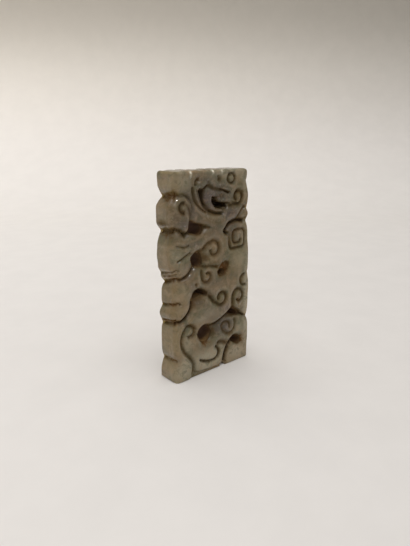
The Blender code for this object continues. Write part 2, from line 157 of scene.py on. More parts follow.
LINES = [
    # Notches of the left side and the lines that run on from them over the front
    line(left_notch(53.2, 53.6) + [(0.9, 0.2, 53.7)], (0.8, 1.0), (0.4, 0.45), 0.75, 0.75),
    line([(0.9, 2.5, 53.4), (0.9, 1.0, 53.6), (0.9, 0.2, 53.7), (2.5, 53.9), (4.0, 53.6), (5.2, 52.8),
          (6.1, 51.6), (6.3, 50.0), (5.9, 48.3), (5.5, 46.6)], 1.0, (0.35, 0.5), 0.4, 0.7),
    line(left_notch(43.7, 44.2) + [(0.6, 0.2, 44.5), (2.0, 44.3), (3.3, 43.3), (4.4, 43.5), (5.2, 44.2)],
         (0.8, 1.0), (0.5, 0.6), 0.75, 0.6),
    line(left_notch(32.0, 33.4) + [(0.6, 0.3, 33.6), (1.3, 33.6)], (0.7, 0.5), (0.3, 0.3), 0.6),
    line(left_notch(31.0, 32.0)[2:] + [(0.8, 0.3, 32.2)], 0.5, 0.3, 0.5),
    line(left_notch(29.2, 30.6) + [(0.9, 0.2, 30.7), (2.0, 30.8), (3.5, 31.3), (4.8, 32.1), (5.8, 33.2),
                                   (6.4, 34.4)], (0.9, 1.0), (0.5, 0.6), 0.8, 0.6),
    line(left_notch(22.6, 23.6) + [(0.6, 0.3, 24.0), (1.6, 23.6)], (0.8, 0.6), (0.2, 0.4), 0.75, 0.2),
    line(left_notch(18.3, 19.1) + [(0.5, 0.3, 19.4)], 0.6, (0.2, 0.2), 0.85),
    line(left_notch(17.1, 18.0) + [(0.6, 0.3, 18.6)], (0.9, 1.0), (0.5, 0.6), 0.7, 0.6),
    line([(1.0, 2.8, 17.8), (0.8, 1.4, 18.0), (0.7, 0.3, 18.4), (1.8, 18.6), (3.3, 19.4), (4.7, 20.8),
          (5.5, 22.3), (5.8, 24.0), (6.3, 25.2)], (1.0, 1.1), (0.55, 0.75), 0.95, 0.6),
    line(left_notch(6.2, 6.4) + [(0.6, 0.4, 6.2)], (1.1, 0.7), (0.35, 0.3), 0.5, 0.3),
    # Notches of the right side
    *[line(right_notch(z, x), width, depth, stain) for z, x, width, depth, stain in RIGHT_NOTCHES],
    # Drilled ring of the top band, in two overlapping halves
    line(curl((20.3, 57.6), (1.35, 1.35), 0, 220, 20), 1.0, 0.5, 0.8),
    line(curl((20.3, 57.6), (1.35, 1.35), 180, 220, 20), 0.8, 0.5, 0.75),
    # Lobe under the top block
    line(curl((3.0, 50.5), (1.3, 1.4), 60, 230), 1.1, 0.55, 0.85),
    line([(2.9, 51.9), (3.9, 51.4), (4.7, 50.4), (5.2, 49.2), (5.5, 48.0)], 1.0, 0.3, 0.5),
    line([(9.6, 44.9), (10.8, 44.7), (12.1, 44.6)], (1.0, 0.6), 0.4, 0.7),
    # Mane
    line([(5.5, 58.4), (5.7, 56.8), (6.1, 55.2)], 1.8, 0.12, 0.35),
    line([(6.0, 56.2), (6.2, 54.4), (6.8, 52.6), (7.8, 51.0), (9.0, 49.9), (10.1, 49.2), (11.4, 48.6)],
         (0.9, 0.8), (0.4, 0.6), 0.8),
    line([(7.4, 55.4), (7.8, 53.9), (8.6, 52.0), (9.5, 50.6), (10.6, 49.6)], 0.35, 0.35, 0.6),
    line([(8.3, 57.7), (7.7, 57.8), (7.2, 57.4), (7.0, 56.8), (7.0, 56.0)], (1.2, 0.9), 0.4, 0.75),
    line([(8.8, 55.0), (9.2, 53.6), (9.8, 51.8), (10.7, 50.2), (12.1, 49.0), (13.7, 48.4), (15.4, 48.0),
          (17.8, 47.9)], (1.9, 0.8), 0.9, 0.85, 0.3),
    # Peaked line over the eye, with its short dash
    line([(8.2, 54.6), (9.5, 54.8), (10.5, 55.3), (11.6, 56.2)], (1.0, 0.9), 0.6, 0.95),
    line([(11.5, 56.2), (12.4, 55.7), (13.5, 55.2), (15.0, 54.8), (16.8, 54.4)], 1.0, 0.55, 0.75),
    line([(11.7, 56.0), (11.6, 57.4)], 0.8, 0.25, 0.45),
    line([(15.7, 54.9), (17.5, 54.3), (19.7, 53.6)], 0.6, 0.6, 1.0),
    line([(16.0, 55.8), (17.0, 55.5), (18.2, 55.1)], 0.5, 0.15, 0.35),
    # Crescent and the scroll that runs out of it
    line([(13.9, 53.0), (13.7, 52.0), (14.2, 51.0), (15.6, 50.4), (18.4, 50.3)], (1.6, 1.1), 0.8, 1.0),
    line([(13.9, 52.2), (14.2, 51.4), (15.2, 50.9)], 1.1, 0.5, 1.0),
    line([(16.3, 53.8), (16.2, 52.8), (16.4, 51.8)], 0.5, 0.2, 0.45),
    line([(17.2, 53.7), (17.1, 52.9), (17.3, 52.1)], 0.5, 0.2, 0.45),
    line([(17.4, 50.4), (19.6, 50.3), (21.8, 50.2), (23.6, 50.4)] + curl((23.1, 52.3), (1.8, 1.2), -30, 290),
         (1.4, 0.9), 0.6, 0.85),
    # Right lobe and the square fret under it
    line([(26.2, 49.6), (25.4, 48.6), (24.4, 47.4), (23.5, 46.4), (22.8, 45.4)], 1.0, 0.5, 0.7, 0.2),
    line([(26.0, 44.9), (24.8, 45.1), (23.2, 45.3), (21.0, 45.0), (19.7, 44.4), (18.9, 43.4), (18.2, 42.7),
          (18.7, 42.1), (19.6, 41.5)], (1.2, 0.9), 0.75, 1.0, 0.4),
    line([(19.8, 42.4), (19.9, 39.6), (20.1, 37.9), (20.5, 37.3), (21.2, 37.1), (25.0, 37.2), (25.7, 37.4),
          (26.0, 38.0), (26.1, 39.6), (26.0, 41.4), (25.7, 42.2), (25.0, 42.5), (22.6, 42.5), (21.7, 42.1),
          (21.4, 41.3), (21.4, 39.7), (21.7, 38.9), (22.4, 38.6), (23.7, 38.7), (24.2, 39.0), (24.3, 39.6),
          (23.9, 40.7)], 0.95, 0.5, 0.8),
    # Waves and curls of the waist
    line([(6.5, 37.6), (8.0, 37.9), (9.6, 38.4), (11.2, 39.7)] + curl((13.7, 37.9), (2.6, 1.1), 125, -325),
         (1.3, 1.0), 0.5, 0.75),
    line([(-0.2, 40.5), (1.5, 40.2), (3.0, 39.9), (5.0, 40.2)], 0.7, 0.35, 0.6),
    line([(0.1, 36.0), (1.8, 36.7), (3.4, 37.4), (5.2, 38.2)], 0.7, 0.4, 0.65),
    line([(8.4, 33.8), (10.2, 33.4), (13.0, 33.1), (15.6, 32.3)], (1.1, 0.8), 0.45, 0.75),
    line([(8.6, 33.4), (9.1, 31.4)] + curl((11.2, 30.3), (2.0, 0.7), 195, 300), 1.0, 0.5, 0.75),
    line(curl((26.6, 26.6), (1.6, 1.8), 75, 225), 1.0, 0.5, 0.75),
    # The body's long lines
    line([(10.9, 25.3), (12.3, 23.9), (13.8, 22.1)] + curl((16.9, 22.7), (2.4, 1.1), 215, 370),
         (1.2, 1.0), 0.55, 0.8),
    line([(21.9, 18.0), (21.7, 20.2), (21.8, 22.2)] + curl((23.9, 21.7), (2.3, 2.0), 125, -190)
         + [(24.5, 19.9), (23.7, 20.5), (23.6, 21.2)], (1.2, 1.0), 0.55, 0.8),
    line([(7.9, 12.4), (8.4, 13.5), (9.7, 14.5), (12.0, 14.7), (14.0, 14.75), (16.0, 15.3), (18.0, 16.1),
          (20.0, 16.9), (22.3, 16.8), (24.3, 16.0), (26.2, 15.0), (27.8, 14.2)],
         (1.2, 0.8), (0.7, 0.55), 0.95, 0.3, 0.55, 5.0),
    # Worn curl in the sunk ground, and the hooks over the foot
    line([(22.8, 15.2), (23.1, 13.2), (22.4, 11.2), (20.7, 10.2), (19.0, 10.6), (17.8, 11.8), (17.4, 13.0),
          (18.2, 14.0), (19.5, 14.1), (20.5, 13.5), (20.5, 12.4), (19.8, 12.2)], (1.3, 1.0), 0.5, 0.7),
    line([(15.0, 8.1), (16.5, 8.4), (18.0, 8.0), (19.8, 7.0)], 1.4, 0.6, 0.75),
    line([(14.3, 7.9), (15.2, 7.0), (15.8, 5.7), (15.5, 4.3), (14.4, 3.5), (12.6, 3.4), (10.6, 3.8),
          (9.2, 4.4), (8.1, 5.1)], (1.1, 0.9), 0.55, 0.85),
    line([(22.4, 8.2), (21.0, 7.2), (19.9, 6.1), (19.2, 4.8), (18.7, 3.0), (18.2, 0.2)],
         (1.5, 1.2), 0.65, 0.95, 0.5),
    line(curl((4.8, 14.7), (1.4, 2.1), 225, 290)
         + [(2.4, 15.0), (1.8, 13.4), (1.8, 11.5), (2.3, 9.8), (3.4, 8.1), (4.7, 6.7), (5.8, 5.2), (6.2, 3.8),
            (6.0, 2.2), (6.0, 0.4)], (1.1, 1.0), 0.55, 0.7, 0.4),
]

# Ground sunk below the relief: outline, depth, softness of its edge, stain
FIELDS = [
    ([(8.4, 54.6), (9.9, 55.0), (11.8, 56.0), (14.0, 54.9), (19.8, 53.6), (21.8, 51.0), (17.0, 49.0),
      (13.0, 49.4), (11.0, 51.2), (9.6, 53.0)], 0.5, 0.7, 0.1),
    ([(8.0, 54.9), (11.0, 55.2), (11.1, 53.4), (11.2, 51.6), (12.2, 49.8), (10.7, 50.2), (9.3, 52.2)],
     0.5, 0.7, 0.95),
    ([(13.3, 52.9), (14.5, 52.7), (15.1, 51.4), (17.0, 51.0), (19.6, 50.9), (20.2, 50.3), (16.6, 49.8),
      (14.4, 50.3), (13.4, 51.4)], 0.6, 0.5, 0.95),
    ([(4.9, 47.0), (6.6, 46.9), (9.8, 45.9), (11.9, 44.8), (9.8, 42.7), (6.4, 42.3), (4.4, 43.6)],
     0.6, 0.9, 0.8),
    ([(5.1, 37.2), (8.6, 38.8), (13.0, 37.0), (13.2, 34.0), (8.0, 32.7), (5.4, 34.0)], 0.7, 2.2, 0.65),
    ([(15.1, 30.8), (15.7, 32.5), (17.2, 33.9), (19.0, 34.3), (20.5, 33.2), (20.4, 31.0), (19.2, 29.2),
      (17.2, 28.6), (15.6, 29.3)], 0.45, 1.1, 0.8),
    ([(5.7, 23.4), (6.0, 26.6), (8.0, 27.7), (10.4, 27.2), (12.6, 25.0), (10.4, 23.4), (8.0, 22.5)],
     0.6, 1.6, 0.65),
    ([(19.6, 17.2), (21.8, 19.1), (23.8, 18.0), (26.5, 15.4), (24.6, 14.8), (21.4, 15.4)], 0.5, 0.8, 0.9),
    ([(7.5, 12.4), (8.2, 14.5), (10.6, 15.3), (14.4, 15.1), (16.2, 13.2), (15.6, 10.6), (12.8, 8.8),
      (9.8, 8.6), (8.2, 10.0)], 0.7, 2.2, 0.7),
    ([(20.7, 7.4), (22.0, 9.5), (24.4, 9.6), (26.8, 8.3), (27.0, 6.4), (25.4, 4.4), (23.2, 4.8)],
     0.6, 1.5, 0.6),
    # The foot bevel's stain is painted shade on its downward face
    ([(5.4, -2.0), (5.4, 1.9), (9.0, 1.6), (14.0, 1.3), (18.2, 1.1), (18.2, -2.0)], 0.35, 0.4, 0.5),
]

# Small drilled pits: x, z, radius, depth
PITS = [
    (7.8, 57.3, 0.6, 0.3), (15.4, 57.4, 1.2, 0.5), (14.9, 58.1, 0.7, 0.3), (6.8, 28.4, 0.7, 0.35),
    (3.3, 43.2, 0.8, 0.45), (25.9, 48.6, 0.5, 0.2), (26.3, 45.6, 0.5, 0.2),
]

# Patches on the stone: centre (x, depth, z), half sizes along them, strength
PATCHES = {
    "rust": [
        ((1.2, 2.8, 53.2), (2.2, 3.6, 1.1), 0.9), ((0.6, 3.0, 42.9), (1.4, 3.6, 1.5), 0.6),
        ((17.8, 0.3, 31.4), (2.3, 3.0, 2.1), 1.0), ((0.6, 3.4, 31.2), (1.6, 3.8, 1.3), 0.7),
        ((20.5, 0.0, 29.6), (4.5, 1.5, 2.4), 0.35), ((11.4, 0.8, 9.2), (2.8, 2.2, 1.4), 1.0),
        ((26.5, 0.5, 6.9), (1.2, 2.0, 1.6), 0.9), ((-0.4, 4.0, 58.3), (0.7, 1.2, 0.5), 0.6),
        ((0.6, 4.2, 18.4), (1.4, 3.4, 1.1), 0.8), ((0.8, 3.0, 6.8), (1.2, 3.6, 1.6), 0.7),
        ((0.8, 3.0, 23.2), (1.2, 3.6, 1.2), 0.6), ((6.8, 0.2, 23.6), (1.0, 2.0, 1.4), 0.4),
        ((24.5, 0.0, 53.0), (1.6, 1.5, 1.8), 0.3), ((10.5, 2.0, 12.6), (4.0, 2.0, 4.0), 0.5),
    ],
    "grey": [
        ((14.0, 0.0, 52.2), (7.0, 3.0, 4.0), 1.0), ((21.3, 0.0, 47.0), (3.4, 2.0, 1.8), 0.8),
        ((8.0, 0.0, 47.8), (3.0, 2.0, 1.4), 0.5), ((3.4, 0.0, 45.4), (2.2, 2.0, 1.4), 0.9),
        ((19.6, 0.0, 18.9), (1.8, 2.0, 1.2), 0.9), ((19.4, 0.0, 13.0), (3.8, 2.5, 2.6), 0.8),
        ((6.0, 0.0, 28.2), (1.6, 2.0, 1.8), 0.5), ((17.2, 0.0, 7.9), (2.4, 2.0, 0.9), 0.7),
        ((6.6, 0.0, 40.0), (3.0, 2.0, 1.5), 0.5),
    ],
    # Painted shade: darkens the upper middle and head of the front, which get less light from the floor, and
    # the undersides of lobes, the ground under the long line and other places where shade falls
    "painted_shade": [
        ((3.6, 0.3, 43.0), (2.6, 2.0, 1.1), 0.9), ((6.2, 0.3, 33.2), (2.0, 2.0, 1.8), 0.9),
        ((4.4, 0.4, 31.0), (3.0, 2.0, 0.9), 0.8), ((7.8, 0.3, 23.4), (2.4, 2.0, 2.2), 0.9),
        ((21.0, 0.3, 15.8), (3.6, 2.0, 1.0), 0.9), ((25.2, 0.0, 49.2), (1.6, 2.0, 1.2), 0.7),
        ((5.6, 0.2, 49.6), (1.8, 2.0, 2.0), 0.9), ((0.4, 3.4, 51.9), (1.8, 3.8, 1.2), 0.8),
        ((0.2, 4.6, 45.8), (2.0, 3.4, 1.6), 0.9), ((0.4, 3.6, 42.8), (1.8, 3.6, 0.9), 0.6),
        ((6.6, 0.0, 49.4), (3.2, 2.0, 1.8), 0.8), ((13.6, 0.0, 28.0), (5.0, 2.0, 1.5), 0.6),
        ((12.0, 0.0, 24.6), (4.0, 2.0, 1.6), 0.6), ((17.0, 0.0, 19.2), (2.2, 2.0, 1.0), 0.8),
        ((13.0, 0.0, 52.0), (8.0, 4.0, 4.6), 0.8), ((2.6, 2.5, 48.0), (4.8, 5.0, 3.8), 0.85),
        ((17.0, 0.0, 36.0), (3.0, 2.0, 2.4), 0.3), ((-0.2, 4.5, 46.4), (1.5, 2.2, 0.9), 0.8),
        ((5.8, 0.0, 56.4), (1.0, 2.0, 2.2), 0.5), ((9.5, 0.0, 35.5), (2.4, 3.0, 2.6), 0.6),
        ((2.0, 2.0, 38.5), (4.0, 5.0, 4.5), 0.1), ((17.6, 0.0, 13.6), (4.8, 3.0, 3.0), 1.0),
        ((20.4, 0.0, 47.4), (4.2, 3.0, 2.2), 0.95), ((26.6, 0.0, 18.0), (2.0, 2.0, 3.0), 0.25),
        ((14.0, 0.0, 44.4), (10.0, 4.0, 4.0), 0.6), ((5.6, 0.3, 53.0), (1.4, 2.0, 3.0), 0.7),
        ((21.8, 0.0, 43.4), (3.6, 4.0, 4.2), 0.9), ((13.0, 0.0, 18.2), (3.6, 2.0, 2.0), 0.7),
        ((0.6, 4.0, 27.0), (2.0, 3.2, 3.2), 0.45), ((11.0, 0.0, 57.6), (4.4, 2.0, 1.6), 0.75),
        ((25.6, 0.0, 21.0), (2.0, 2.0, 3.5), 0.3), ((12.5, 0.0, 31.0), (5.0, 3.0, 3.5), 0.25),
        ((3.0, 0.0, 34.0), (3.0, 2.0, 2.0), 0.25), ((11.5, 0.0, 21.5), (4.0, 2.0, 2.5), 0.35),
    ],
    # Partly paler stone and partly painted light: lit crests of lobes, a bright rim down the right edge, and
    # the foot and lower front lightened as by light thrown up from the floor
    "pale_and_painted_light": [
        ((27.6, 0.3, 6.5), (1.1, 2.0, 2.2), 0.9), ((28.0, 0.6, 20.0), (1.5, 3.0, 19.0), 1.0),
        ((26.4, 0.4, 55.0), (1.4, 3.0, 5.0), 0.6), ((27.0, 0.0, 40.0), (2.4, 2.0, 5.0), 0.6),
        ((25.2, 0.0, 58.2), (2.0, 2.0, 1.6), 0.7), ((0.8, 0.8, 37.4), (1.8, 2.2, 2.6), 0.6),
        ((0.8, 0.8, 25.4), (1.5, 2.0, 1.6), 0.7), ((24.4, 0.0, 11.0), (2.6, 2.0, 2.2), 0.5),
        ((9.4, 0.0, 17.6), (3.0, 2.0, 1.4), 0.5), ((2.2, 1.0, 3.6), (5.0, 5.0, 4.4), 1.0),
        ((2.2, 1.6, 57.6), (4.2, 5.0, 2.8), 0.7), ((3.0, 0.5, 26.5), (2.6, 3.0, 3.0), 0.4),
        ((12.5, 0.0, 18.6), (4.5, 2.0, 1.8), 0.3), ((12.0, 0.0, 4.0), (8.0, 3.0, 4.2), 1.0),
        ((23.5, 0.0, 3.0), (5.0, 3.0, 3.6), 0.7), ((4.0, 0.0, 10.0), (2.8, 3.0, 5.0), 0.5),
        ((24.5, 0.0, 33.0), (3.0, 2.0, 3.0), 0.6), ((1.0, 3.0, 12.0), (2.0, 5.0, 5.0), 0.5),
        ((2.5, 0.5, 33.6), (2.6, 3.0, 1.6), 0.3), ((20.0, 0.0, 59.0), (8.0, 2.0, 1.6), 0.75),
        ((7.0, 7.7, 50.0), (7.0, 3.0, 8.0), 0.5), ((20.0, 7.7, 20.0), (7.0, 3.0, 12.0), 0.5),
        ((2.5, 0.5, 22.0), (2.6, 3.0, 1.8), 0.3),
    ],
    "honey": [
        ((-0.3, 3.6, 51.0), (1.4, 3.4, 3.0), 0.4), ((0.3, 4.4, 57.2), (2.2, 5.0, 4.4), 1.0),
        ((0.6, 3.8, 26.0), (2.0, 3.6, 5.0), 1.0), ((0.4, 4.0, 13.0), (1.8, 4.4, 6.0), 1.0),
        ((0.4, 4.0, 5.0), (1.8, 4.4, 4.0), 0.9), ((-0.5, 4.5, 38.0), (1.2, 3.2, 6.0), 0.6),
        ((-0.5, 4.5, 48.0), (1.2, 3.2, 4.0), 0.5), ((24.0, 0.0, 53.0), (2.4, 1.5, 2.6), 0.5),
        ((13.0, 0.0, 46.6), (4.0, 1.5, 1.2), 0.4), ((23.0, 0.0, 32.5), (3.0, 1.5, 4.0), 0.5),
        ((3.0, 0.0, 24.5), (2.0, 1.5, 4.0), 0.4),
    ],
    # Painted glints on the top edge: near-white marks where light would catch its small dips
    "painted_glint": [
        ((5.7, 0.2, 59.1), (0.26, 0.6, 0.8), 1.0), ((13.6, 0.2, 59.5), (0.24, 0.6, 0.6), 0.9),
        ((17.0, 0.2, 59.3), (0.24, 0.5, 0.6), 0.6),
    ],
    # Painted glow: thin stone beside the small openings made lighter, as if light came through it
    "painted_glow": [
        ((23.8, 2.0, 7.6), (2.4, 3.0, 2.4), 1.0), ((8.4, 2.0, 26.0), (3.2, 3.0, 1.8), 0.8),
        ((17.2, 1.5, 30.8), (2.0, 2.5, 1.8), 0.7), ((11.4, 1.2, 10.2), (2.6, 2.2, 1.3), 0.8),
        ((7.4, 2.0, 35.6), (2.6, 3.0, 2.4), 0.5), ((22.8, 2.0, 17.0), (2.6, 3.0, 1.6), 0.2),
    ],
    # Brown stain away from the lines, and painted shade: the top face's edge darkened against the light from
    # above, and shaded undersides such as one lobe's on the left side
    "brown_stain_and_shade": [
        ((10.8, 0.8, 60.0), (0.5, 1.2, 0.5), 0.6), ((12.4, 0.8, 60.0), (0.5, 1.2, 0.6), 0.7),
        ((14.6, 0.8, 60.0), (0.4, 1.2, 0.5), 0.5), ((-0.2, 4.8, 58.0), (0.8, 0.9, 0.5), 0.6),
        ((21.3, 0.0, 47.2), (2.8, 1.5, 1.5), 0.4), ((16.0, 0.5, 13.6), (2.6, 1.5, 1.7), 0.45),
        ((18.2, 0.3, 31.6), (1.9, 1.5, 2.0), 0.5), ((0.0, 5.0, 46.2), (1.8, 2.8, 1.2), 0.8),
        ((0.2, 4.2, 43.0), (1.6, 3.2, 0.9), 0.6), ((3.4, 0.3, 43.1), (2.2, 1.5, 0.9), 0.7),
        ((0.4, 3.4, 52.3), (1.4, 3.4, 0.8), 0.55), ((19.2, 0.0, 49.4), (2.2, 1.5, 0.9), 0.6),
        ((17.4, 0.0, 52.6), (2.2, 1.5, 1.2), 0.6), ((17.2, 0.0, 55.3), (1.6, 1.5, 0.5), 0.5),
        ((5.8, 0.5, 32.8), (1.5, 1.5, 1.8), 0.65), ((14.6, 0.0, 33.8), (2.2, 1.5, 0.7), 0.6),
        ((8.8, 0.5, 24.2), (2.6, 1.8, 1.3), 0.7), ((7.0, 0.2, 22.2), (1.0, 1.5, 1.4), 0.6),
        ((20.8, 0.5, 15.7), (2.8, 1.5, 0.8), 0.7), ((13.2, 0.5, 12.8), (1.8, 1.5, 1.8), 0.85),
        ((10.4, 0.5, 35.8), (2.0, 1.5, 1.6), 0.8), ((16.0, 3.0, 60.3), (11.0, 4.0, 0.45), 0.45),
    ],
}

# Rounding of the edge between the left side and the front, as (z, radius)
ARRIS = (
    (60.0, 1.4), (55.0, 1.6), (50.0, 3.2), (45.0, 2.6), (38.0, 3.4), (33.0, 2.6), (28.0, 2.8), (22.0, 3.0),
    (16.0, 2.0), (8.0, 1.9), (3.0, 2.6), (0.0, 1.8),
)
TOP_EDGE = 0.9
FOOT_EDGE = 0.4
RIGHT_EDGE = 0.2
# How far down the dips of the top edge fade out, and the dips: x, half width, depth
DIP_FADE = 2.5
TOP_DIPS = (
    (2.0, 1.1, 0.2), (5.4, 0.5, 0.25), (9.6, 0.8, 0.12), (12.0, 0.9, 0.15), (13.2, 0.4, 0.25),
    (16.7, 0.4, 0.2), (21.0, 1.2, 0.12),
)
# Rusty places whose crust is rough, as patches
CRUST = [
    ((17.8, 0.3, 31.6), (2.6, 2.0, 2.5), 1.3), ((11.4, 0.8, 9.6), (2.6, 2.0, 1.4), 0.6),
    ((3.8, 0.3, 45.2), (1.8, 1.5, 1.2), 0.5), ((20.0, 0.3, 18.6), (1.4, 1.5, 1.0), 0.4),
]

# Where a sunken place lies, for each unit of its depth, from where it shows on the slanting view
SIGHT_SLOPE = (0.885, 0.0, -0.37)
CUT_SIGHT = 0.65
HOLE_SIGHT = 0.3
FIELD_SIGHT = 0.4

# How much wider wear has made the lines than the wheel that cut them
WEAR = 1.5
# A line's cut across its width: how far each part spreads, in half widths, and its share of the depth
CUT_PROFILE = ((0.75, 0.8), (1.7, 0.2))
# How full a line is at its ends, and the share of its length over which it fills
THIN_END = 0.35
RUN_IN = 0.07
# How far wear rounds the stone beside a line, and how far out
SHOULDER = 0.22
SHOULDER_REACH = 0.9
# How far the lobes roll off towards a line on the front, how far out, and how much of that on the side
PILLOW = 1.25
PILLOW_REACH = 1.4
SIDE_ROLL = 0.7
# The same round the mouth of a hole
HOLE_ROLL = 0.4
HOLE_ROLL_REACH = 0.9
# Where the ground beside a line with a drop begins and is fully sunk, across the line
LEE = (-0.3, 0.5)
# Unevenness of the front, the skin and the crust, as (height, size), and how far each is worn down
SLOW_SWELL = (0.10, 7.0)
QUICK_SWELL = (0.06, 2.5)
SKIN = (0.02, 0.9)
CRUST_GRAIN = (0.2, 0.55)
FRONT_WEAR = 0.05
SKIN_WEAR = 0.02
CRUST_WEAR = 0.08
# Depth from the front at which sunk ground no longer moves the stone
COLUMN = 4.5
# How far from a line, a hole or a field the stone is looked at
LINE_REACH = 4.5
STAIN_REACH = 3.0
HOLE_REACH = 3.0
WALL_REACH = 2.0
FIELD_REACH = 1.5

# Strength of the stain in pits, in the mouths of holes and on dropped ground, and how much less a hole
# has at the back
PIT_STAIN = 0.8
MOUTH_STAIN = 0.8
DROP_STAIN = 0.6
BACK_CLEAN = 0.6
# A line's stain: how far it spreads in half widths, and the fainter halo round it
STAIN_SPREAD = 1.05
HALO = 0.35
HALO_REACH = 0.9
# How bright the painted highlights on the rims beside the lines are, how many half widths out, and how wide
RIM_HIGHLIGHT = 0.25
RIM_OUT = 1.7
RIM_WIDTH = 0.4
# How deep in a hole's wall its deep colour starts and is full; this and the wall colour nearer the mouth are
# painted light on the walls
DEEP_WALL = (0.3, 4.2)


def place(x, z, depth=0.0):
    """Drawing units to metres."""
    return Vector(((x - MIDDLE) * UNIT, LOW.y + depth * UNIT, z * UNIT))


def scalloped_side(extremes):
    """Drawing points down a side, with a half wave between each crest and hollow."""
    points = []
    for (z_from, x_from), (z_to, x_to) in zip(extremes, extremes[1:]):
        for step in range(WAVE_STEPS):
            share = step / WAVE_STEPS
            swing = (1 - math.cos(math.pi * share)) / 2
            points.append((x_from + (x_to - x_from) * swing, z_from + (z_to - z_from) * share))
    points.append((extremes[-1][1], extremes[-1][0]))
    return points


def corner(centre, start, radius=CORNER):
    """Drawing points of a rounded corner of the slab."""
    return curl(centre, (radius, radius), start, 90, 15)


def outline():
    """The plaque's whole outline, anticlockwise seen from the front."""
    left = scalloped_side(LEFT_SIDE)
    right = scalloped_side(RIGHT_SIDE)
    top_left = corner((left[0][0] + CORNER, GRID_HEIGHT - CORNER), 90)
    top_right = corner((right[0][0] - CORNER, GRID_HEIGHT - CORNER), 0)
    foot_z = FOOT_CORNER - FOOT_SPARE
    foot_left = corner((left[-1][0] + FOOT_CORNER, foot_z), 180, FOOT_CORNER)
    right_centre = (right[-1][0] - RIGHT_FOOT_CORNER, RIGHT_FOOT_CORNER - FOOT_SPARE)
    foot_right = corner(right_centre, 270, RIGHT_FOOT_CORNER)
    return top_left + left + foot_left + foot_right + right[::-1] + top_right


def only(chosen):
    """Selects one object alone and makes it active."""
    bpy.ops.object.select_all(action="DESELECT")
    chosen.select_set(True)
    bpy.context.view_layer.objects.active = chosen


def linked(name, data):
    """A new object with this data, in the scene."""
    made = bpy.data.objects.new(name, data)
    bpy.context.scene.collection.objects.link(made)
    return made


def flat_curve(name, points, half_depth, edge=0.0, smooth=False):
    """A closed flat outline with thickness, stood up in the plaque's plane and made a mesh."""
    data = bpy.data.curves.new(name, "CURVE")
    data.dimensions = "2D"
    data.fill_mode = "BOTH"
    data.extrude = half_depth - edge
    data.bevel_depth = edge
    data.bevel_resolution = 6
    data.offset = -edge
    spline = data.splines.new("BEZIER" if smooth else "POLY")
    knots = spline.bezier_points if smooth else spline.points
    knots.add(len(points) - 1)
    for knot, (x, z) in zip(knots, points):
        spot = place(x, z)
        knot.co = (spot.x, spot.z, 0) if smooth else (spot.x, spot.z, 0, 1)
        if smooth:
            knot.handle_left_type = knot.handle_right_type = "AUTO"
    spline.use_cyclic_u = True
    data.resolution_u = 8
    made = linked(name, data)
    made.rotation_euler = (math.radians(90), 0, 0)
    only(made)
    bpy.ops.object.convert(target="MESH")
    made = bpy.context.object
    bpy.ops.object.transform_apply(location=True, rotation=True, scale=True)
    bpy.ops.object.mode_set(mode="EDIT")
    bpy.ops.mesh.select_all(action="SELECT")
    bpy.ops.mesh.remove_doubles(threshold=0.000002)
    bpy.ops.mesh.normals_make_consistent(inside=False)
    bpy.ops.object.mode_set(mode="OBJECT")
    return made


def apply_modifier(target, kind, **values):
    only(target)
    bpy.ops.object.modifier_add(type=kind)
    modifier = target.modifiers[-1]
    for name, value in values.items():
        setattr(modifier, name, value)
    bpy.ops.object.modifier_apply(modifier=modifier.name)


def cut(target, cutter):
    """Takes the cutter out of the target and deletes it."""
    apply_modifier(target, "BOOLEAN", operation="DIFFERENCE", solver="EXACT", object=cutter)
    bpy.data.objects.remove(cutter)


def foot_bar():
    """An oval bar across the thickness that cuts the notch under the foot."""
    x, height, half_width = FOOT_NOTCH
    bpy.ops.object.select_all(action="DESELECT")
    bpy.ops.mesh.primitive_cylinder_add(
        vertices=32, radius=1, depth=THICKNESS + 2 * CUT_MARGIN,
        location=(place(x, 0).x, 0, 0), rotation=(math.radians(90), 0, 0),
    )
    bar = bpy.context.object
    bar.scale = (half_width * UNIT, height * UNIT, 1)
    bpy.ops.object.transform_apply(location=True, rotation=True, scale=True)
    return bar


def rough_stone():
    """The pierced slab before carving, evenly meshed."""
    stone = flat_curve("carved_jade", outline(), THICKNESS / 2, EDGE_ROUND * UNIT)
    cut(stone, foot_bar())
    for name, points in HOLES.items():
        traced = unslanted(np.array([(x, 0.0, z) for x, z in points]), HOLE_SIGHT)
        bored = [(x, z) for x, _, z in traced]
        cut(stone, flat_curve(name, bored, THICKNESS / 2 + CUT_MARGIN, smooth=True))
    apply_modifier(stone, "REMESH", mode="VOXEL", voxel_size=VOXEL * UNIT, adaptivity=0.0)
    apply_modifier(stone, "SMOOTH", factor=0.5, iterations=SMOOTH_ROUNDS)
    return stone


def smooth_route(points, steps=ROUTE_STEPS):
    """A smooth route through the given points (Catmull-Rom), in drawing units (x, depth, z)."""
    knots = [p if len(p) == 3 else (p[0], 0.0, p[1]) for p in points]
    knots = np.array([knots[0], *knots, knots[-1]], float)
    route = []
    for before, start, end, after in zip(knots, knots[1:], knots[2:], knots[3:]):
        for step in range(steps):
            t = step / steps
            route.append(0.5 * (
                2 * start + (end - before) * t + (2 * before - 5 * start + 4 * end - after) * t * t
                + (3 * start - before - 3 * end + after) * t ** 3
            ))
    route.append(knots[-2])
    return np.array(route)


def closed_route(points):
    """A smooth closed route round a hole or a field, ending where it starts."""
    return smooth_route(points[-1:] + points + points[:2])[ROUTE_STEPS:-ROUTE_STEPS]


def per_vertex(mesh, kind):
    """Each vertex's place ("co") or normal ("normal"), one row a vertex."""
    flat = np.empty(len(mesh.vertices) * 3, np.float32)
    mesh.vertices.foreach_get(kind, flat)
    return flat.reshape(-1, 3).astype(float)


def drawing_places(mesh):
    """The mesh's vertices in drawing units (x, depth, z)."""
    places = per_vertex(mesh, "co") * PER_METRE
    places[:, 0] += MIDDLE
    places[:, 1] -= LOW.y * PER_METRE
    return places


